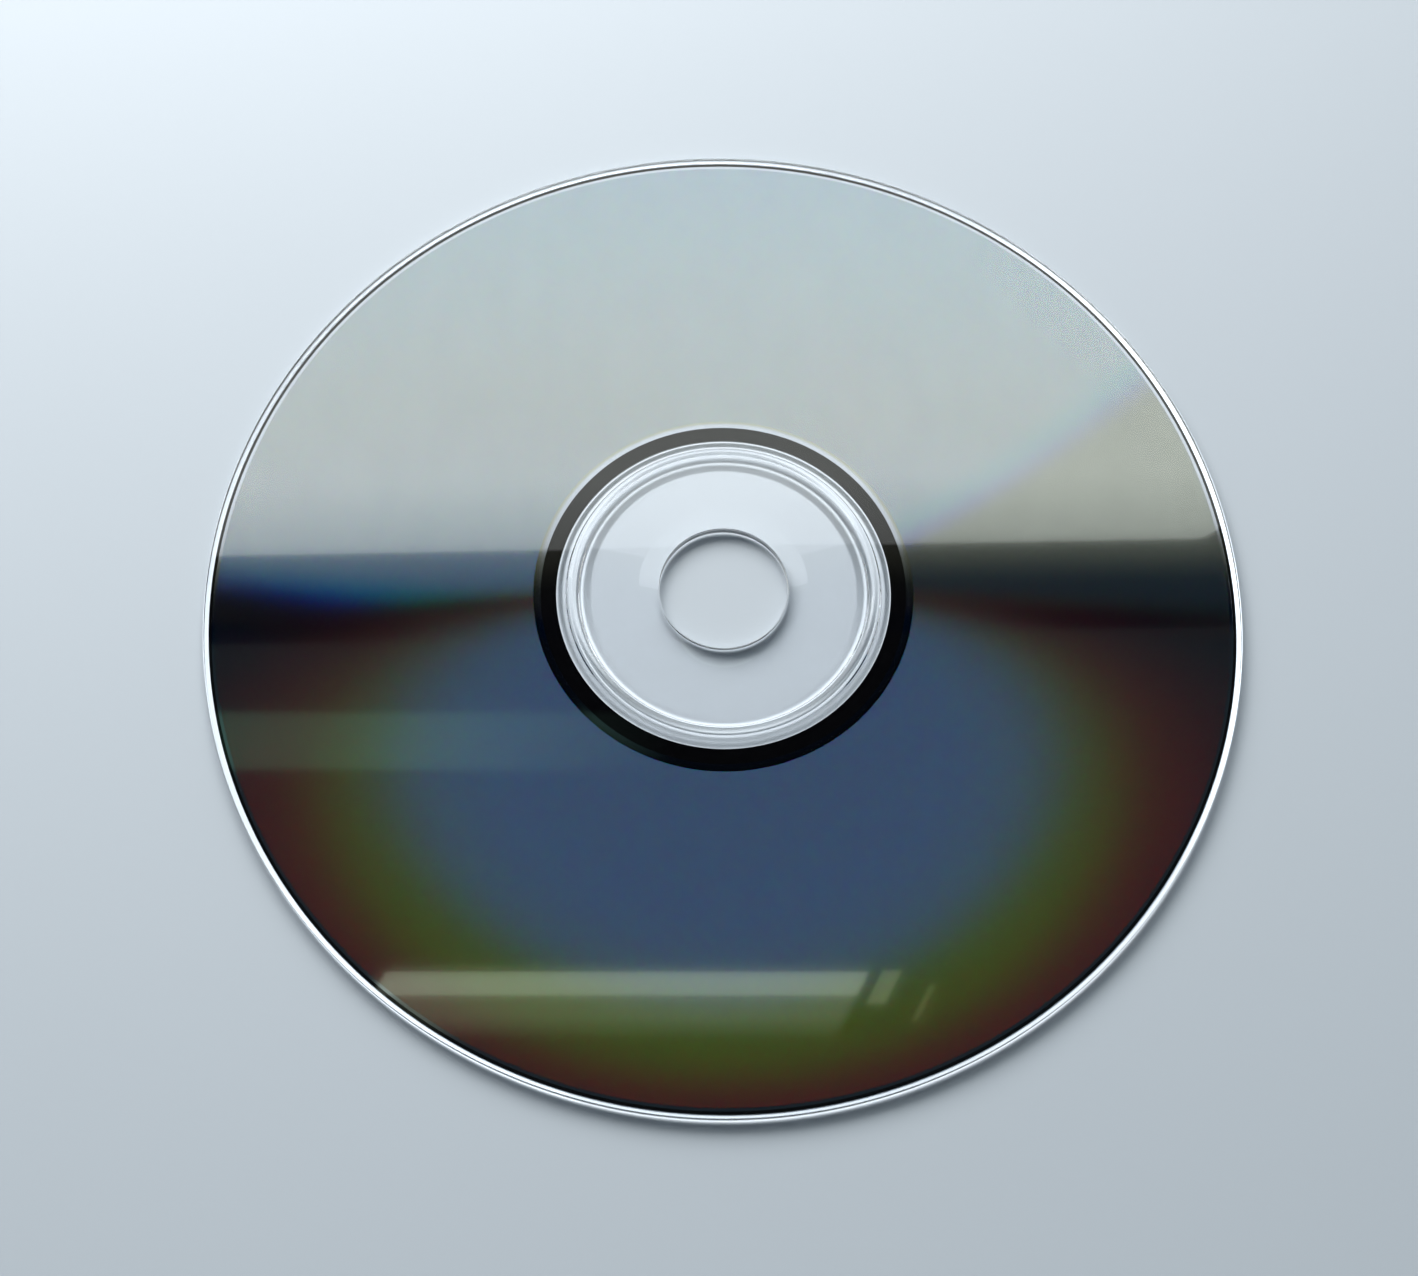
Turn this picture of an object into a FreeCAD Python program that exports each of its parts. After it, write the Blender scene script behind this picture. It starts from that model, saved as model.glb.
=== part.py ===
import FreeCAD, Part
import os

os.makedirs("parts", exist_ok=True)

# A compact disc lying label side down, with its read side up.
# The origin is on the axis of the centre hole, on the surface that the disc lies on,
# and Z points up out of the read side. Sizes are in millimetres.

# The moulded disc of clear polycarbonate
disc_diameter = 120.0
disc_thickness = 1.2
hole_diameter = 15.0
rim_round = 0.12
hole_chamfer = 0.1

# Label side: the recess that the hole's punch leaves round the hole
punch_recess_width = 2.3
punch_recess_depth = 0.03
punch_recess_slope = 0.3

# Label side: the groove moulded by the ring that holds the stamper in its mould
holder_groove_inner_diameter = 33.5
holder_groove_width = 1.6
holder_groove_depth = 0.18
holder_groove_slope = 0.15

# Read side: the raised ring that keeps stacked discs from touching
stack_ring_width = 0.86
stack_ring_height = 0.12
stack_ring_slope = 0.3

# The metal film on the label side, drawn thicker than the real one so that it is a solid
film_thickness = 0.02
film_inner_lap = 1.95
film_outer_lap = 0.35

# The black printed coat that covers the film and seals both its edges
coat_thickness_over_film = 0.03
coat_edge_slope = 0.03
coat_groove_margin = 1.1
coat_rim_margin = 0.55

# Radii worked out from the sizes above
disc_radius = disc_diameter / 2
hole_radius = hole_diameter / 2
punch_recess_radius = hole_radius + punch_recess_width
groove_inner_radius = holder_groove_inner_diameter / 2
groove_outer_radius = groove_inner_radius + holder_groove_width
ring_middle_radius = (groove_inner_radius + groove_outer_radius) / 2
ring_inner_radius = ring_middle_radius - stack_ring_width / 2
ring_outer_radius = ring_middle_radius + stack_ring_width / 2
coat_inner_radius = groove_outer_radius + coat_groove_margin
coat_outer_radius = disc_radius - coat_rim_margin
film_inner_radius = coat_inner_radius + film_inner_lap
film_outer_radius = coat_outer_radius - film_outer_lap

# Levels, from the surface that the disc lies on
film_bottom = coat_thickness_over_film
label_face = film_bottom + film_thickness
recess_face = label_face + punch_recess_depth
read_face = label_face + disc_thickness
ring_top = read_face + stack_ring_height


def turned(outline):
    """Turn a closed outline of (radius, height) corners about the disc's axis."""
    corners = [FreeCAD.Vector(radius, 0, height) for radius, height in outline]
    face = Part.Face(Part.makePolygon(corners + corners[:1]))
    return face.revolve(FreeCAD.Vector(0, 0, 0), FreeCAD.Vector(0, 0, 1), 360)


def rim_edges(solid):
    """The two circular edges where the faces of the disc meet its rim."""
    edges = []
    for edge in solid.Edges:
        is_circle = isinstance(edge.Curve, Part.Circle)
        if is_circle and abs(edge.Curve.Radius - disc_radius) < 1e-6:
            edges.append(edge)
    return edges


def substrate():
    """The clear disc: one moulding with its hole, recess, groove, stacking ring and rim."""
    label_side = [
        (hole_radius, recess_face + hole_chamfer),
        (hole_radius + hole_chamfer, recess_face),
        (punch_recess_radius, recess_face),
        (punch_recess_radius + punch_recess_slope, label_face),
        (groove_inner_radius, label_face),
        (groove_inner_radius + holder_groove_slope, label_face + holder_groove_depth),
        (groove_outer_radius - holder_groove_slope, label_face + holder_groove_depth),
        (groove_outer_radius, label_face),
        (disc_radius, label_face),
    ]
    read_side = [
        (disc_radius, read_face),
        (ring_outer_radius, read_face),
        (ring_outer_radius - stack_ring_slope, ring_top),
        (ring_inner_radius + stack_ring_slope, ring_top),
        (ring_inner_radius, read_face),
        (hole_radius + hole_chamfer, read_face),
        (hole_radius, read_face - hole_chamfer),
    ]
    disc = turned(label_side + read_side)
    return disc.makeFillet(rim_round, rim_edges(disc))


def reflective_film():
    """The metal film that mirrors the read side and carries the data."""
    return turned([
        (film_inner_radius, film_bottom),
        (film_outer_radius, film_bottom),
        (film_outer_radius, label_face),
        (film_inner_radius, label_face),
    ])


def label_coat():
    """The black coat: a ring under the film that wraps round both its edges."""
    return turned([
        (coat_inner_radius + coat_edge_slope, 0),
        (coat_outer_radius - coat_edge_slope, 0),
        (coat_outer_radius, label_face),
        (film_outer_radius, label_face),
        (film_outer_radius, film_bottom),
        (film_inner_radius, film_bottom),
        (film_inner_radius, label_face),
        (coat_inner_radius, label_face),
    ])


substrate().exportStep("parts/substrate.step")
reflective_film().exportStep("parts/reflective_film.step")
label_coat().exportStep("parts/label_coat.step")
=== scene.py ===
import math

import bmesh
import bpy
from mathutils import Matrix, Vector


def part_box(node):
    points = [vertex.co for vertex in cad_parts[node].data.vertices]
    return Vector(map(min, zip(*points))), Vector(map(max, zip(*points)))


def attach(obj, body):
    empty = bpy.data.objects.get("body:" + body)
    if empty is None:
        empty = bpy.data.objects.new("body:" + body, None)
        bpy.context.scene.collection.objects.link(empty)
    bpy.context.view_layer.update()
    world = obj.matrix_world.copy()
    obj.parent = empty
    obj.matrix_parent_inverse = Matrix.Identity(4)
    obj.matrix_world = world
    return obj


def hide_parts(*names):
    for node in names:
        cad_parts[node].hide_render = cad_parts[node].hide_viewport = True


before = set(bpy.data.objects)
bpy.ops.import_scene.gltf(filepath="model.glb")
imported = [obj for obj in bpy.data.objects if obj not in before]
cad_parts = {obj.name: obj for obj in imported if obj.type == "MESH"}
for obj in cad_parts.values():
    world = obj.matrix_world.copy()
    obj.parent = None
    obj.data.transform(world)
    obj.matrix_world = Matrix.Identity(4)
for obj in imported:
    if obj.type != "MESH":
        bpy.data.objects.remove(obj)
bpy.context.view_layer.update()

bl_info = {
    "name": "Compact disc",
    "version": (1, 0, 0),
    "blender": (4, 5, 0),
    "location": "View3D > Sidebar > Disc",
    "description": "A recordable disc of clear polycarbonate, lying with its read side up",
    "category": "Add Mesh",
}

# A compact disc lying label side down on a pale floor. Everything is in metres, in the
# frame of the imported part: the origin is on the axis of the hole, on the floor's level.

MM = 0.001
TURN_STEPS = 512
LABEL_FACE, RING_TOP = (corner.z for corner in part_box("substrate"))
DISC_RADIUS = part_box("substrate")[1].x
FILM_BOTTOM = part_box("reflective_film")[0].z
FILM_OUTER_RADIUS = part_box("reflective_film")[1].x
COAT_OUTER_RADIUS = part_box("label_coat")[1].x

# Slopes and roundings of the mouldings, and of the edges of the coat
RECESS_SLOPE = 0.3 * MM
GROOVE_SLOPE, GROOVE_ROUND = 0.15 * MM, 0.03 * MM
RING_FLANK, RING_ROUND = 0.3 * MM, 0.12 * MM
COAT_SLOPE, COAT_ROUND = 0.03 * MM, 0.012 * MM
# A height between the lower and the upper face, and how close two like corners lie
MID_HEIGHT = 0.6 * MM
SAME_PLACE = 0.002 * MM

POLYCARBONATE_IOR = 1.585
# A mirror that leans turns its light by nearly twice the lean
MIRROR_TURN = 1.96

# Painted rings of light and shade under the hub, between two radii: each radius in millimetres,
# with the share of the light painted as landing there, set to give rings as bright as the real hub's
PAINTED_RINGS_SPAN = (15.0, 20.0)
NEAR_PAINTED_RINGS = (
    (15.5, 1.0), (16.0, 0.93), (16.25, 1.0), (16.48, 2.4), (16.6, 2.4), (16.69, 0.7), (16.73, 1.4),
    (16.78, 3.2), (16.83, 2.4), (16.9, 0.2), (17.35, 0.2), (17.5, 1.7), (17.62, 2.4), (17.76, 1.4),
    (17.9, 0.4), (18.35, 0.85), (18.6, 1.0), (18.8, 0.55), (19.0, 0.42), (19.2, 0.7), (19.35, 1.5),
)
FAR_PAINTED_RINGS = (
    (15.4, 1.0), (15.6, 0.25), (16.22, 0.2), (16.5, 1.5), (16.62, 1.3), (16.7, 0.0), (16.98, 0.0),
    (17.1, 0.4), (17.4, 0.4), (17.7, 1.4), (17.95, 1.8), (18.24, 1.5), (18.29, 0.6), (18.37, 0.6),
    (18.43, 1.6), (18.7, 1.4), (18.8, 0.0), (19.28, 0.0), (19.36, 2.2), (19.45, 2.2),
)


def linear(code):
    """The linear colour of an sRGB hex code, with an alpha of 1."""
    parts = [int(code[i : i + 2], 16) / 255 for i in (1, 3, 5)]
    return (*(p / 12.92 if p <= 0.04045 else ((p + 0.055) / 1.055) ** 2.4 for p in parts), 1.0)


class DiscSizes(bpy.types.PropertyGroup):
    """Sizes of the moulded disc and of the two layers on its label side."""

    hole_radius: bpy.props.FloatProperty(
        name="Hole radius", description="Radius of the centre hole",
        default=7.5 * MM, unit="LENGTH", precision=5)
    read_face: bpy.props.FloatProperty(
        name="Read face", description="Height of the flat read face over the floor",
        default=1.25 * MM, unit="LENGTH", precision=5)
    rim_round: bpy.props.FloatProperty(
        name="Rim rounding", description="Radius of the two roundings along the rim",
        default=0.2 * MM, unit="LENGTH", precision=5)
    hole_round: bpy.props.FloatProperty(
        name="Hole rounding", description="Radius of the two roundings along the hole",
        default=0.15 * MM, unit="LENGTH", precision=5)
    ring_radius: bpy.props.FloatProperty(
        name="Stacking ring radius", description="Middle radius of the raised ring on the read side",
        default=17.55 * MM, unit="LENGTH", precision=5)
    ring_width: bpy.props.FloatProperty(
        name="Stacking ring width", description="Width of the raised ring at its foot",
        default=0.86 * MM, unit="LENGTH", precision=5)
    groove_radius: bpy.props.FloatProperty(
        name="Holder groove radius", description="Inner radius of the groove on the label side",
        default=16.75 * MM, unit="LENGTH", precision=5)
    groove_width: bpy.props.FloatProperty(
        name="Holder groove width", description="Width of the groove on the label side",
        default=1.6 * MM, unit="LENGTH", precision=5)
    groove_depth: bpy.props.FloatProperty(
        name="Holder groove depth", description="Depth of the groove on the label side",
        default=0.18 * MM, unit="LENGTH", precision=5)
    recess_radius: bpy.props.FloatProperty(
        name="Punch recess radius", description="Radius of the shallow recess round the hole",
        default=10.1 * MM, unit="LENGTH", precision=5)
    recess_depth: bpy.props.FloatProperty(
        name="Punch recess depth", description="Depth of the shallow recess round the hole",
        default=0.03 * MM, unit="LENGTH", precision=5)
    film_inner_radius: bpy.props.FloatProperty(
        name="Film inner radius", description="Inner radius of the metal film",
        default=21.25 * MM, unit="LENGTH", precision=5)
    coat_inner_radius: bpy.props.FloatProperty(
        name="Coat inner radius", description="Inner radius of the printed coat",
        default=19.45 * MM, unit="LENGTH", precision=5)
    layer_sink: bpy.props.FloatProperty(
        name="Layer sink",
        description="How far the two layers reach into the plastic, so that no air lies over them",
        default=0.01 * MM, unit="LENGTH", precision=6)
    first_track: bpy.props.FloatProperty(
        name="First track", description="Radius at which the grooved area starts",
        default=22.1 * MM, unit="LENGTH", precision=5)
    last_track: bpy.props.FloatProperty(
        name="Last track", description="Radius at which the grooved area ends",
        default=58.75 * MM, unit="LENGTH", precision=5)


class DiscFinish(bpy.types.PropertyGroup):
    """Colours of the disc's three materials."""

    plastic: bpy.props.FloatVectorProperty(
        name="Polycarbonate", description="Tint of the clear plastic",
        subtype="COLOR", size=4, default=linear("#FBFDFF"), min=0, max=1)
    bare_metal: bpy.props.FloatVectorProperty(
        name="Plain film", description="Colour of the metal film where it has no grooves",
        subtype="COLOR", size=4, default=linear("#9FA3AC"), min=0, max=1)
    grooved_metal: bpy.props.FloatVectorProperty(
        name="Grooved film", description="Colour of the mirror image in the grooved area",
        subtype="COLOR", size=4, default=linear("#8D8F85"), min=0, max=1)
    ink: bpy.props.FloatVectorProperty(
        name="Printed coat", description="Colour of the black printed coat",
        subtype="COLOR", size=4, default=linear("#040405"), min=0, max=1)


class StudioLook(bpy.types.PropertyGroup):
    """The floor and the soft lights round the disc."""

    floor: bpy.props.FloatVectorProperty(
        name="Floor", description="Colour of the plain floor",
        subtype="COLOR", size=4, default=linear("#B2BBC6"), min=0, max=1)
    panel: bpy.props.FloatVectorProperty(
        name="Soft panel", description="Colour of the large soft panel behind the disc",
        subtype="COLOR", size=4, default=linear("#FAFFFC"), min=0, max=1)
    panel_strength: bpy.props.FloatProperty(
        name="Soft panel strength", description="Radiance of the large soft panel", default=1.94)
    fill_power: bpy.props.FloatProperty(
        name="Side light power", description="Power of the soft light that shades the floor",
        default=1.9, unit="POWER")


def add_node(tree, kind, inputs=None, **settings):
    """Adds a node to a tree, with its settings and with its inputs set or linked."""
    node = tree.nodes.new(kind)
    for name, value in settings.items():
        setattr(node, name, value)
    for socket, value in (inputs or {}).items():
        if isinstance(value, bpy.types.NodeSocket):
            tree.links.new(value, node.inputs[socket])
        else:
            node.inputs[socket].default_value = value
    return node


def start_material(name):
    """A new material with an empty node tree, and its output node."""
    material = bpy.data.materials.new(name)
    material.use_nodes = True
    material.node_tree.nodes.clear()
    return material, material.node_tree, add_node(material.node_tree, "ShaderNodeOutputMaterial")


def set_stops(ramp, stops):
    """Sets the places and colours of a colour ramp."""
    elements = ramp.color_ramp.elements
    while len(elements) < len(stops):
        elements.new(0.5)
    for element, (position, colour) in zip(elements, stops):
        element.position, element.color = position, colour


def between(tree, value, low, high, soft):
    """A mask that is 1 where a value lies between two limits, with soft ends."""
    rise = add_node(tree, "ShaderNodeMapRange", {
        "Value": value, "From Min": low - soft, "From Max": low + soft})
    fall = add_node(tree, "ShaderNodeMapRange", {
        "Value": value, "From Min": high + soft, "From Max": high - soft})
    return add_node(
        tree, "ShaderNodeMath", {0: rise.outputs[0], 1: fall.outputs[0]},
        operation="MULTIPLY").outputs[0]


def place_and_radius(tree):
    """The place on the piece, that place brought down to level, and its distance from the axis."""
    place = add_node(tree, "ShaderNodeTexCoord").outputs["Object"]
    level = add_node(
        tree, "ShaderNodeVectorMath", {0: place, 1: (1, 1, 0)}, operation="MULTIPLY").outputs[0]
    radius = add_node(
        tree, "ShaderNodeVectorMath", {0: level}, operation="LENGTH").outputs["Value"]
    return place, level, radius


def turned_mesh(outline):
    """A closed ring turned round the Z axis from an outline of radius and height."""
    bm = bmesh.new()
    corners = [bm.verts.new((radius, 0.0, height)) for radius, height in outline]
    edges = [bm.edges.new((a, b)) for a, b in zip(corners, corners[1:] + corners[:1])]
    bmesh.ops.spin(
        bm, geom=corners + edges, cent=(0, 0, 0), axis=(0, 0, 1), dvec=(0, 0, 0),
        angle=math.tau, steps=TURN_STEPS, use_merge=True, use_duplicate=False)
    bmesh.ops.remove_doubles(bm, verts=bm.verts, dist=1e-7)
    bmesh.ops.recalc_face_normals(bm, faces=bm.faces)
    return bm


def round_circles(bm, places, size, segments):
    """Rounds the circular edges that lie at the given places of radius and height."""
    rounded = [
        edge for edge in bm.edges
        if any(
            all(
                abs(math.hypot(v.co.x, v.co.y) - radius) < SAME_PLACE
                and abs(v.co.z - height) < SAME_PLACE
                for v in edge.verts
            )
            for radius, height in places
        )
    ]
    bmesh.ops.bevel(
        bm, geom=rounded, offset=size, offset_type="OFFSET", affect="EDGES",
        segments=segments, profile=0.5, material=-1)


def finish_piece(bm, name, materials, node):
    """Makes the mesh a piece of the disc, which stands for its CAD node."""
    for face in bm.faces:
        face.smooth = True
    for edge in bm.edges:
        edge.smooth = edge.calc_face_angle(0.0) < math.radians(35)
    mesh = bpy.data.meshes.new(name)
    bm.to_mesh(mesh)
    bm.free()
    for material in materials:
        mesh.materials.append(material)
    piece = bpy.data.objects.new(name, mesh)
    bpy.context.scene.collection.objects.link(piece)
    flat = piece.modifiers.new("Flat faces stay flat", "WEIGHTED_NORMAL")
    flat.weight = 100
    flat.keep_sharp = True
    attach(piece, "root")
    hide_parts(node)
    return piece


def polycarbonate(finish):
    """Optical-grade polycarbonate, moulded against polished steel.

    It gives the eye a deep clear gloss, a bright line wherever an edge is rounded,
    and a few dull specks.
    """
    material, tree, output = start_material("Moulded_clear_polycarbonate")
    place, level, radius = place_and_radius(tree)
    # Dull specks about 0.3 mm across, one in about 9 mm
    specks = add_node(tree, "ShaderNodeTexVoronoi", {"Vector": place, "Scale": 1 / (9 * MM)})
    dull = add_node(tree, "ShaderNodeMapRange", {
        "Value": specks.outputs["Distance"], "From Min": 0.012, "From Max": 0.02,
        "To Min": 0.25, "To Max": 0.0})
    shader = add_node(tree, "ShaderNodeBsdfPrincipled", {
        "Base Color": finish.plastic, "Roughness": dull.outputs[0],
        "IOR": POLYCARBONATE_IOR, "Transmission Weight": 1.0})
    # Steep faces, the cut wall of the hole and the rim, are matt and a little milky
    upright = add_node(tree, "ShaderNodeSeparateXYZ", {
        0: add_node(tree, "ShaderNodeNewGeometry").outputs["Normal"]}).outputs[2]
    flatness = add_node(tree, "ShaderNodeMath", {0: upright}, operation="ABSOLUTE").outputs[0]
    steep = add_node(tree, "ShaderNodeMapRange", {
        "Value": flatness, "From Min": 0.55, "From Max": 0.2, "To Max": 0.42}).outputs[0]
    milk = add_node(tree, "ShaderNodeBsdfDiffuse", {"Color": linear("#F4F6F8")})
    body = add_node(
        tree, "ShaderNodeMixShader", {0: steep, 1: shader.outputs[0], 2: milk.outputs[0]})
    # Light for what lies under the disc goes straight through, but steep faces keep some back
    passing = add_node(tree, "ShaderNodeValToRGB", {0: flatness})
    set_stops(passing, (
        (0.4, (0.0, 0.0, 0.0, 1)), (0.62, (0.7, 0.7, 0.7, 1)), (0.9, (1.17, 1.17, 1.17, 1))))
    # Painted light and shade: bright and dark rings under the hub, fixed by radius, stand in for the
    # light that the groove and the stacking ring bend: how much lands at each radius, on the far and on
    # the near side
    part = add_node(tree, "ShaderNodeSeparateXYZ", {0: place})
    hub = add_node(tree, "ShaderNodeMapRange", {
        "Value": radius, "From Min": PAINTED_RINGS_SPAN[0] * MM, "From Max": PAINTED_RINGS_SPAN[1] * MM}).outputs[0]
    sides = []
    for shares in (NEAR_PAINTED_RINGS, FAR_PAINTED_RINGS):
        ramp = add_node(tree, "ShaderNodeValToRGB", {0: hub})
        set_stops(ramp, [
            ((at - PAINTED_RINGS_SPAN[0]) / (PAINTED_RINGS_SPAN[1] - PAINTED_RINGS_SPAN[0]), (share, share, share, 1))
            for at, share in shares])
        sides.append(ramp.outputs[0])
    far = add_node(tree, "ShaderNodeMath", {0: part.outputs[1], 1: radius}, operation="DIVIDE")
    far = add_node(tree, "ShaderNodeMapRange", {
        "Value": far.outputs[0], "From Min": -0.5, "From Max": 0.5}).outputs[0]
    # Painted light beside the rim: the clear rim beyond the coat passes 1.65 to 2.8 times the light,
    # most on the far side, standing in for the light that its own wall throws back
    share = add_node(
        tree, "ShaderNodeMapRange", {"Value": far, "To Min": 1.65, "To Max": 2.8}).outputs[0]
    rim = add_node(tree, "ShaderNodeMapRange", {
        "Value": radius, "From Min": COAT_OUTER_RADIUS - 0.1 * MM, "From Max": COAT_OUTER_RADIUS,
        "To Min": 1.0, "To Max": share}).outputs[0]
    painted_rings = add_node(tree, "ShaderNodeMix", {
        "Factor": far, 6: sides[0], 7: sides[1]}, data_type="RGBA").outputs[2]
    painted_rings = add_node(
        tree, "ShaderNodeVectorMath", {0: painted_rings, "Scale": rim}, operation="SCALE").outputs[0]
    # Only the lower face has the painted rings
    upper = add_node(
        tree, "ShaderNodeMath", {0: part.outputs[2], 1: MID_HEIGHT},
        operation="GREATER_THAN").outputs[0]
    painted_rings = add_node(tree, "ShaderNodeMix", {
        "Factor": upper, 6: painted_rings, 7: (1, 1, 1, 1)}, data_type="RGBA").outputs[2]
    passing = add_node(
        tree, "ShaderNodeVectorMath", {0: passing.outputs[0], 1: painted_rings}, operation="MULTIPLY")
    passing = add_node(tree, "ShaderNodeBsdfTransparent", {0: passing.outputs[0]})
    shading = add_node(tree, "ShaderNodeLightPath").outputs["Is Shadow Ray"]
    both = add_node(
        tree, "ShaderNodeMixShader", {0: shading, 1: body.outputs[0], 2: passing.outputs[0]})
    tree.links.new(both.outputs[0], output.inputs["Surface"])
    return material


def sputtered_film(finish, sizes):
    """Sputtered metal on moulded grooves, seen through the plastic.

    It gives the eye a mirror, dimmed where the grooves throw light aside, and the
    rainbow that each groove spacing sends back: every colour leaves at its own tilt.
    """
    material, tree, output = start_material("Sputtered_metal_film")
    place, level, radius = place_and_radius(tree)
    outward = add_node(
        tree, "ShaderNodeVectorMath", {0: level}, operation="NORMALIZE").outputs[0]
    upright = add_node(tree, "ShaderNodeNewGeometry").outputs["Normal"]

    begun = add_node(
        tree, "ShaderNodeMath", {0: radius, 1: sizes.first_track}, operation="GREATER_THAN")
    unended = add_node(
        tree, "ShaderNodeMath", {0: radius, 1: sizes.last_track}, operation="LESS_THAN").outputs[0]
    grooved = add_node(
        tree, "ShaderNodeMath", {0: begun.outputs[0], 1: unended}, operation="MULTIPLY").outputs[0]
    # The mirror dims over the last half millimetre before the grooves
    dimmed = add_node(tree, "ShaderNodeMapRange", {
        "Value": radius, "From Min": sizes.first_track - 0.55 * MM,
        "From Max": sizes.first_track - 0.1 * MM}).outputs[0]
    dimmed = add_node(
        tree, "ShaderNodeMath", {0: dimmed, 1: unended}, operation="MULTIPLY").outputs[0]
    colour = add_node(tree, "ShaderNodeMix", {
        "Factor": dimmed, 6: finish.bare_metal, 7: finish.grooved_metal}, data_type="RGBA")
    # The film is a little uneven, in streaks about 3 mm across and three times as long
    stretched = add_node(tree, "ShaderNodeMapping", {"Vector": place, "Scale": (1, 0.33, 1)})
    streaks = add_node(tree, "ShaderNodeTexNoise", {
        "Vector": stretched.outputs[0], "Scale": 1 / (3 * MM), "Detail": 4.0, "Roughness": 0.6})
    evenness = add_node(tree, "ShaderNodeMapRange", {
        "Value": streaks.outputs["Fac"], "From Min": 0.3, "From Max": 0.7,
        "To Min": 0.96, "To Max": 1.03})
    uneven = add_node(
        tree, "ShaderNodeVectorMath", {0: colour.outputs[2], "Scale": evenness.outputs[0]},
        operation="SCALE")
    mirror = add_node(tree, "ShaderNodeBsdfPrincipled", {
        "Base Color": uneven.outputs[0], "Metallic": 1.0, "Roughness": 0.03})
    shader = mirror.outputs[0]
    # Each colour the grooves throw aside: its share of the light, and the sine of the
    # angle by which it leaves the mirror image. In the plastic that sine is smaller.
    for code, shares, sine, roughness in (
        ("#0418FF", (0.096, 0.093), 0.238, 0.062), ("#08FF10", (0.041, 0.044), 0.278, 0.062),
        ("#FF1804", (0.0235, 0.0235), 0.358, 0.078),
    ):
        for side, share in zip((-1, 1), shares):
            lean = add_node(
                tree, "ShaderNodeVectorMath",
                {0: outward, "Scale": side * sine / POLYCARBONATE_IOR / MIRROR_TURN},
                operation="SCALE").outputs[0]
            tilted = add_node(
                tree, "ShaderNodeVectorMath", {0: upright, 1: lean}, operation="ADD").outputs[0]
            normal = add_node(
                tree, "ShaderNodeVectorMath", {0: tilted}, operation="NORMALIZE").outputs[0]
            order = add_node(tree, "ShaderNodeBsdfAnisotropic", {
                "Color": linear(code), "Roughness": roughness, "Normal": normal},
                distribution="BECKMANN")
            amount = add_node(
                tree, "ShaderNodeMath", {0: grooved, 1: share}, operation="MULTIPLY").outputs[0]
            shader = add_node(tree, "ShaderNodeMixShader", {
                0: amount, 1: shader, 2: order.outputs[0]}).outputs[0]
    tree.links.new(shader, output.inputs["Surface"])
    return material


def printed_coat(finish):
    """Black ink, screen printed and cured under lamps, on the label side.

    It gives the eye a deep black with a soft satin gleam and a fine orange peel.
    """
    material, tree, output = start_material("Screen_printed_black_ink")
    place = add_node(tree, "ShaderNodeTexCoord").outputs["Object"]
    # The mesh of the printing screen leaves a peel about 0.4 mm across
    peel = add_node(tree, "ShaderNodeTexNoise", {
        "Vector": place, "Scale": 1 / (0.4 * MM), "Detail": 3.0})
    # Its gleam changes slowly, over about 15 mm
    patches = add_node(tree, "ShaderNodeTexNoise", {
        "Vector": place, "Scale": 1 / (15 * MM), "Detail": 2.0})
    gleam = add_node(tree, "ShaderNodeMapRange", {
        "Value": patches.outputs["Fac"], "To Min": 0.3, "To Max": 0.46})
    bump = add_node(tree, "ShaderNodeBump", {
        "Height": peel.outputs["Fac"], "Strength": 0.25, "Distance": 0.02 * MM})
    shader = add_node(tree, "ShaderNodeBsdfPrincipled", {
        "Base Color": finish.ink, "Roughness": gleam.outputs[0], "Normal": bump.outputs[0]})
    tree.links.new(shader.outputs[0], output.inputs["Surface"])
    return material


def ink_behind_plastic(finish):
    """The same ink where it was printed onto the plastic, and is wetted by it.

    It gives the eye a plain deep black, with no gleam of its own.
    """
    material, tree, output = start_material("Black_ink_behind_plastic")
    place = add_node(tree, "ShaderNodeTexCoord").outputs["Object"]
    # Clouds about 3 mm across
    cloud = add_node(tree, "ShaderNodeTexNoise", {"Vector": place, "Scale": 1 / (3 * MM)})
    rough = add_node(tree, "ShaderNodeMapRange", {
        "Value": cloud.outputs["Fac"], "To Min": 0.6, "To Max": 0.8})
    shader = add_node(tree, "ShaderNodeBsdfPrincipled", {
        "Base Color": finish.ink, "Roughness": rough.outputs[0], "Specular IOR Level": 0.02})
    tree.links.new(shader.outputs[0], output.inputs["Surface"])
    return material


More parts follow.
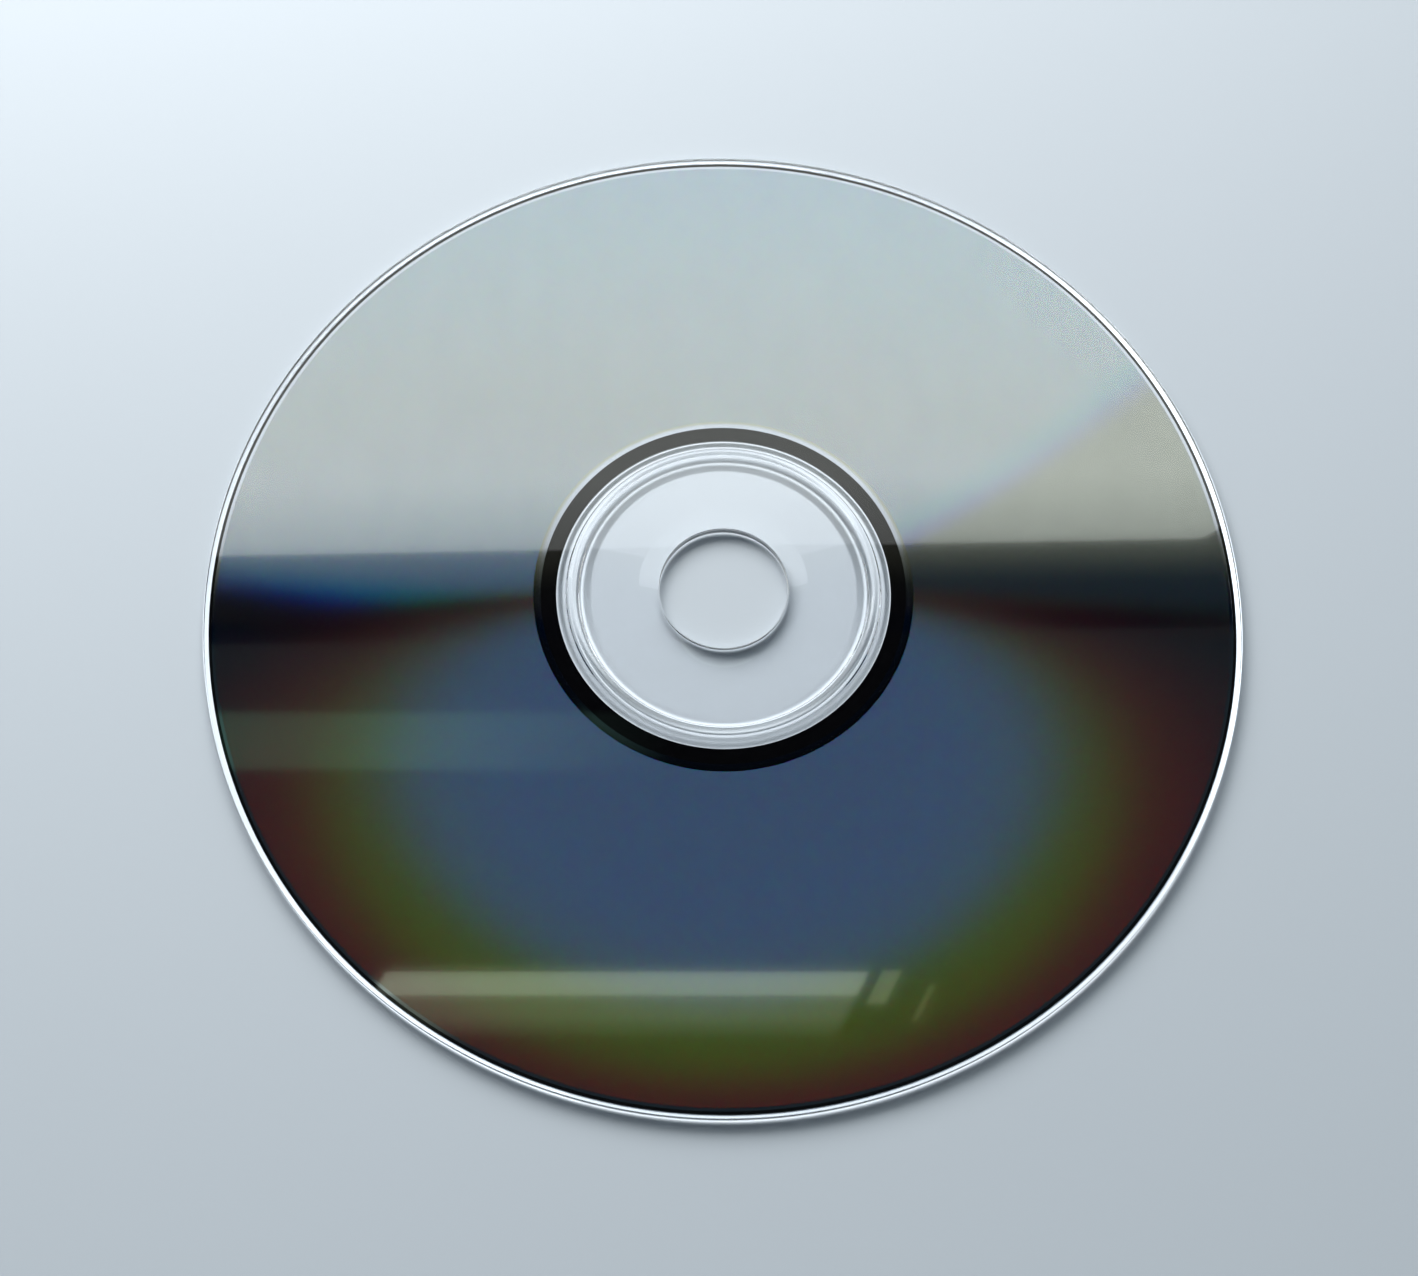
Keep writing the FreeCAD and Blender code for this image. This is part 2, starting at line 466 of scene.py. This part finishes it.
class DISC_OT_substrate(bpy.types.Operator):
    """Turns the clear moulded disc, with its stacking ring, groove, recess and rounded edges"""

    bl_idname = "disc.substrate"
    bl_label = "Moulded disc"

    def execute(self, context):
        s = context.scene.disc_sizes
        recess = LABEL_FACE + s.recess_depth
        groove_top = LABEL_FACE + s.groove_depth
        groove_outer = s.groove_radius + s.groove_width
        foot = s.ring_width / 2
        crown = foot - RING_FLANK
        groove_feet = [(s.groove_radius, LABEL_FACE), (groove_outer, LABEL_FACE)]
        groove_heads = [
            (s.groove_radius + GROOVE_SLOPE, groove_top), (groove_outer - GROOVE_SLOPE, groove_top)]
        rim = [(DISC_RADIUS, LABEL_FACE), (DISC_RADIUS, s.read_face)]
        ring_feet = [(s.ring_radius + foot, s.read_face), (s.ring_radius - foot, s.read_face)]
        ring_heads = [(s.ring_radius + crown, RING_TOP), (s.ring_radius - crown, RING_TOP)]
        hole = [(s.hole_radius, recess), (s.hole_radius, s.read_face)]
        bm = turned_mesh([
            hole[0], (s.recess_radius - RECESS_SLOPE, recess), (s.recess_radius, LABEL_FACE),
            groove_feet[0], *groove_heads, groove_feet[1], *rim,
            ring_feet[0], *ring_heads, ring_feet[1], hole[1]])
        for circles, size, segments in (
            (rim, s.rim_round, 6), (hole, s.hole_round, 5), (ring_heads, RING_ROUND, 5),
            (ring_feet, RING_ROUND, 5), (groove_feet, GROOVE_ROUND, 2), (groove_heads, GROOVE_ROUND, 2),
        ):
            round_circles(bm, circles, size, segments)
        finish_piece(
            bm, "moulded_disc", [polycarbonate(context.scene.disc_finish)],
            "substrate")
        return {"FINISHED"}


class DISC_OT_film(bpy.types.Operator):
    """Turns the metal film that mirrors the light on the label side"""

    bl_idname = "disc.film"
    bl_label = "Metal film"

    def execute(self, context):
        s = context.scene.disc_sizes
        top = LABEL_FACE + s.layer_sink
        bm = turned_mesh([
            (s.film_inner_radius, FILM_BOTTOM), (FILM_OUTER_RADIUS, FILM_BOTTOM),
            (FILM_OUTER_RADIUS, top), (s.film_inner_radius, top)])
        finish_piece(
            bm, "metal_film", [sputtered_film(context.scene.disc_finish, s)],
            "reflective_film")
        return {"FINISHED"}


class DISC_OT_coat(bpy.types.Operator):
    """Turns the black printed coat that covers the film and seals both its edges"""

    bl_idname = "disc.coat"
    bl_label = "Printed coat"

    def execute(self, context):
        s = context.scene.disc_sizes
        top = LABEL_FACE + s.layer_sink * 0.8
        bottom = [(s.coat_inner_radius + COAT_SLOPE, 0.0), (COAT_OUTER_RADIUS - COAT_SLOPE, 0.0)]
        bm = turned_mesh([
            *bottom,
            (COAT_OUTER_RADIUS, top), (FILM_OUTER_RADIUS, top), (FILM_OUTER_RADIUS, FILM_BOTTOM),
            (s.film_inner_radius, FILM_BOTTOM), (s.film_inner_radius, top),
            (s.coat_inner_radius, top)])
        round_circles(bm, bottom, COAT_ROUND, 2)
        # The faces that look up lie against the plastic
        for face in bm.faces:
            face.material_index = int(face.normal.z > 0.5)
        finish = context.scene.disc_finish
        finish_piece(
            bm, "printed_coat", [printed_coat(finish), ink_behind_plastic(finish)],
            "label_coat")
        return {"FINISHED"}


# The camera of the photograph, and how high it stands over the read face
CAMERA_PLACE = Vector((-1.556 * MM, -82.41 * MM, 192.15 * MM))
CAMERA_TILT, CAMERA_ROLL = math.radians(21.721), math.radians(1.328)
CAMERA_RISE = CAMERA_PLACE.z - 0.5 * MM


def studio_light(look):
    """The soft light all round, laid out by where the camera sees it in the disc."""
    world = bpy.data.worlds.new("Studio")
    bpy.context.scene.world = world
    world.use_nodes = True
    tree = world.node_tree
    tree.nodes.clear()
    sky = add_node(tree, "ShaderNodeTexCoord").outputs["Generated"]
    part = add_node(tree, "ShaderNodeSeparateXYZ", {0: sky})
    lift = add_node(
        tree, "ShaderNodeMath", {0: part.outputs[2], 1: 0.02}, operation="MAXIMUM").outputs[0]
    spot = []
    for axis, offset in ((0, CAMERA_PLACE.x), (1, CAMERA_PLACE.y)):
        slope = add_node(
            tree, "ShaderNodeMath", {0: part.outputs[axis], 1: lift}, operation="DIVIDE").outputs[0]
        # Millimetres on the disc, from its middle
        spot.append(add_node(
            tree, "ShaderNodeMath", {0: slope, 1: CAMERA_RISE / MM, 2: offset / MM},
            operation="MULTIPLY_ADD").outputs[0])
    across, along = spot
    # The panel's lower edge runs across the disc, slightly aslant, and rises left of it
    level = add_node(
        tree, "ShaderNodeMath", {0: across, 1: 0.045, 2: 5.48}, operation="MULTIPLY_ADD")
    corner = add_node(
        tree, "ShaderNodeMath", {0: across, 1: -0.43, 2: -43.0}, operation="MULTIPLY_ADD")
    edge = add_node(
        tree, "ShaderNodeMath", {0: level.outputs[0], 1: corner.outputs[0]},
        operation="MAXIMUM").outputs[0]
    above = add_node(tree, "ShaderNodeMath", {0: along, 1: edge}, operation="SUBTRACT").outputs[0]
    # Its right edge leans outwards, and meets the lower one in a small round
    right = add_node(
        tree, "ShaderNodeMath", {0: above, 1: 0.82, 2: 57.5}, operation="MULTIPLY_ADD").outputs[0]
    inward = add_node(tree, "ShaderNodeMath", {0: right, 1: across}, operation="SUBTRACT").outputs[0]
    nearest = add_node(
        tree, "ShaderNodeMath", {0: above, 1: inward, 2: 3.0}, operation="SMOOTH_MIN").outputs[0]
    panel = add_node(tree, "ShaderNodeMapRange", {
        "Value": nearest, "From Min": -0.2, "From Max": 0.2}).outputs[0]
    # Below the edge lie a band that fades, a dark one, and the dim ceiling
    depth = add_node(tree, "ShaderNodeMapRange", {
        "Value": above, "From Min": -12.0, "From Max": 0.0}).outputs[0]
    bands = add_node(tree, "ShaderNodeValToRGB", {0: depth})
    set_stops(bands, (
        (0.27, (0.0, 0.0035, 0.0125, 1)), (0.29, (0.009, 0.009, 0.016, 1)),
        (0.58, (0.017, 0.022, 0.019, 1)),
        (0.72, (0.072, 0.081, 0.063, 1)), (0.85, (0.159, 0.169, 0.125, 1)),
        (1.0, (0.246, 0.258, 0.209, 1))))
    # The ceiling is darkest straight over the camera
    back = add_node(tree, "ShaderNodeMath", {0: along, 1: 15.0}, operation="ADD").outputs[0]
    aside = add_node(tree, "ShaderNodeCombineXYZ", {0: across, 1: back}).outputs[0]
    aside = add_node(tree, "ShaderNodeVectorMath", {0: aside}, operation="LENGTH").outputs["Value"]
    aside = add_node(
        tree, "ShaderNodeMapRange", {"Value": aside, "From Min": 22.0, "From Max": 46.0}).outputs[0]
    ceiling = add_node(tree, "ShaderNodeMix", {
        "Factor": aside, 6: (0.003, 0.005, 0.009, 1), 7: (0.027, 0.04, 0.047, 1)}, data_type="RGBA")
    overhead = add_node(tree, "ShaderNodeMapRange", {
        "Value": above, "From Min": -11.0, "From Max": -11.4}).outputs[0]
    room = add_node(tree, "ShaderNodeMix", {
        "Factor": overhead, 6: bands.outputs[0], 7: ceiling.outputs[2]}, data_type="RGBA").outputs[2]
    # Dim patches of the ceiling and the strip lamp, cut off aslant: where each starts and ends
    # across and along the disc, with how soft its ends and its sides are, and its colour
    strip = add_node(
        tree, "ShaderNodeMath", {0: across, 1: -0.023, 2: along}, operation="MULTIPLY_ADD").outputs[0]
    slant = add_node(tree, "ShaderNodeMath", {0: strip, 1: -0.52, 2: across}, operation="MULTIPLY_ADD")
    aslant = add_node(
        tree, "ShaderNodeMath", {0: slant.outputs[0], 1: 0.52 * 46.0}, operation="SUBTRACT").outputs[0]
    for left, right_end, end_soft, low, high, side_soft, colour in (
        (-90.0, -33.0, 14.0, -21.9, -15.2, 0.4, (0.1, 0.2, 0.157, 1)),
        (-36.0, 15.7, 0.5, -50.5, -44.6, 1.2, (0.23, 0.267, 0.2, 1)),
        (-36.0, 15.7, 0.3, -47.1, -44.6, 0.15, (0.73, 0.846, 0.69, 1)),
        (15.9, 17.0, 0.15, -51.0, -44.4, 0.3, (0.0, 0.0, 0.0, 1)),
        (17.1, 19.2, 0.15, -48.0, -44.4, 0.2, (0.4, 0.46, 0.31, 1)),
        (22.9, 23.6, 0.2, -49.8, -45.9, 0.4, (0.29, 0.3, 0.19, 1)),
    ):
        amount = add_node(tree, "ShaderNodeMath", {
            0: between(tree, aslant, left, right_end, end_soft),
            1: between(tree, strip, low, high, side_soft)}, operation="MULTIPLY").outputs[0]
        room = add_node(tree, "ShaderNodeMix", {
            "Factor": amount, 6: room, 7: colour}, data_type="RGBA").outputs[2]
    # The panel shines more strongly low down
    boost = add_node(tree, "ShaderNodeMapRange", {
        "Value": part.outputs[2], "From Min": 0.72, "From Max": 0.58,
        "To Min": look.panel_strength, "To Max": look.panel_strength * 1.8}).outputs[0]
    rise = add_node(tree, "ShaderNodeMapRange", {
        "Value": above, "From Max": 9.0, "To Min": 0.65, "To Max": 1.0}).outputs[0]
    strength = add_node(
        tree, "ShaderNodeMath", {0: boost, 1: rise}, operation="MULTIPLY").outputs[0]
    bright = add_node(
        tree, "ShaderNodeVectorMath", {0: look.panel[:3], "Scale": strength}, operation="SCALE")
    dim = add_node(tree, "ShaderNodeMix", {
        "Factor": panel, 6: room, 7: bright.outputs[0]}, data_type="RGBA").outputs[2]
    # Pale surroundings low down, lighter behind the disc than in front of it
    low = add_node(tree, "ShaderNodeMapRange", {
        "Value": part.outputs[2], "From Min": 0.45, "From Max": 0.2}).outputs[0]
    behind = add_node(tree, "ShaderNodeMapRange", {
        "Value": part.outputs[1], "From Min": -0.35, "From Max": 0.25,
        "To Min": 0.8, "To Max": 1.4}).outputs[0]
    seen = add_node(tree, "ShaderNodeLightPath").outputs["Is Camera Ray"]
    paleness = add_node(tree, "ShaderNodeMix", {"Factor": seen, 2: behind, 3: 1.0}).outputs[0]
    pale = add_node(
        tree, "ShaderNodeVectorMath", {0: (0.55, 0.6, 0.66), "Scale": paleness}, operation="SCALE")
    colour = add_node(tree, "ShaderNodeMix", {
        "Factor": low, 6: dim, 7: pale.outputs[0]}, data_type="RGBA").outputs[2]
    shader = add_node(tree, "ShaderNodeBackground", {"Color": colour})
    output = add_node(tree, "ShaderNodeOutputWorld")
    tree.links.new(shader.outputs[0], output.inputs["Surface"])


class DISC_OT_stage(bpy.types.Operator):
    """Lays the pale floor, and sets the soft lights and the camera"""

    bl_idname = "disc.stage"
    bl_label = "Floor, lights and camera"

    def execute(self, context):
        look = context.scene.disc_studio
        bm = bmesh.new()
        bmesh.ops.create_grid(bm, x_segments=1, y_segments=1, size=20.0)
        bmesh.ops.translate(bm, verts=bm.verts, vec=(0, 0, -0.01 * MM))
        mesh = bpy.data.meshes.new("floor")
        bm.to_mesh(mesh)
        bm.free()
        floor = bpy.data.objects.new("floor", mesh)
        context.scene.collection.objects.link(floor)
        material, tree, output = start_material("Plain_pale_board")
        shader = add_node(tree, "ShaderNodeBsdfPrincipled", {
            "Base Color": look.floor, "Roughness": 0.7})
        tree.links.new(shader.outputs[0], output.inputs["Surface"])
        mesh.materials.append(material)

        studio_light(look)
        lamp = bpy.data.lights.new("Side_light", "AREA")
        lamp.shape = "RECTANGLE"
        lamp.size, lamp.size_y = 0.36, 0.2
        lamp.energy = look.fill_power
        lamp.color = linear("#FFFBF4")[:3]
        light = bpy.data.objects.new("Side_light", lamp)
        light.location = (-0.11, 0.27, 0.19)
        light.visible_glossy = light.visible_transmission = light.visible_camera = False
        light.rotation_euler = (-light.location).to_track_quat("-Z", "Y").to_euler()
        context.scene.collection.objects.link(light)

        lens = bpy.data.cameras.new("Camera")
        lens.lens, lens.sensor_width, lens.clip_start = 45.513, 36.0, 0.01
        camera = bpy.data.objects.new("Camera", lens)
        camera.matrix_world = (
            Matrix.Translation(CAMERA_PLACE)
            @ Matrix.Rotation(CAMERA_TILT, 4, "X") @ Matrix.Rotation(CAMERA_ROLL, 4, "Z"))
        context.scene.collection.objects.link(camera)
        context.scene.camera = camera
        context.scene.view_settings.view_transform = "Standard"
        return {"FINISHED"}


class DISC_PT_steps(bpy.types.Panel):
    """Lists the disc's pieces and their sizes and colours"""

    bl_idname = "DISC_PT_steps"
    bl_label = "Compact disc"
    bl_space_type = "VIEW_3D"
    bl_region_type = "UI"
    bl_category = "Disc"

    def draw(self, context):
        for group in (
            context.scene.disc_sizes, context.scene.disc_finish, context.scene.disc_studio,
        ):
            column = self.layout.column()
            for name in group.__annotations__:
                column.prop(group, name)
        for step in STEPS:
            self.layout.operator(step.bl_idname)


GROUPS = {"disc_sizes": DiscSizes, "disc_finish": DiscFinish, "disc_studio": StudioLook}
STEPS = (DISC_OT_stage, DISC_OT_coat, DISC_OT_film, DISC_OT_substrate)


def register():
    for kind in (*GROUPS.values(), *STEPS, DISC_PT_steps):
        bpy.utils.register_class(kind)
    for name, group in GROUPS.items():
        setattr(bpy.types.Scene, name, bpy.props.PointerProperty(type=group))


def unregister():
    for name in GROUPS:
        delattr(bpy.types.Scene, name)
    for kind in (DISC_PT_steps, *STEPS[::-1], *GROUPS.values()):
        bpy.utils.unregister_class(kind)


def main():
    register()
    bpy.ops.disc.stage()
    bpy.ops.disc.coat()
    bpy.ops.disc.film()
    bpy.ops.disc.substrate()


if __name__ == "__main__":
    main()
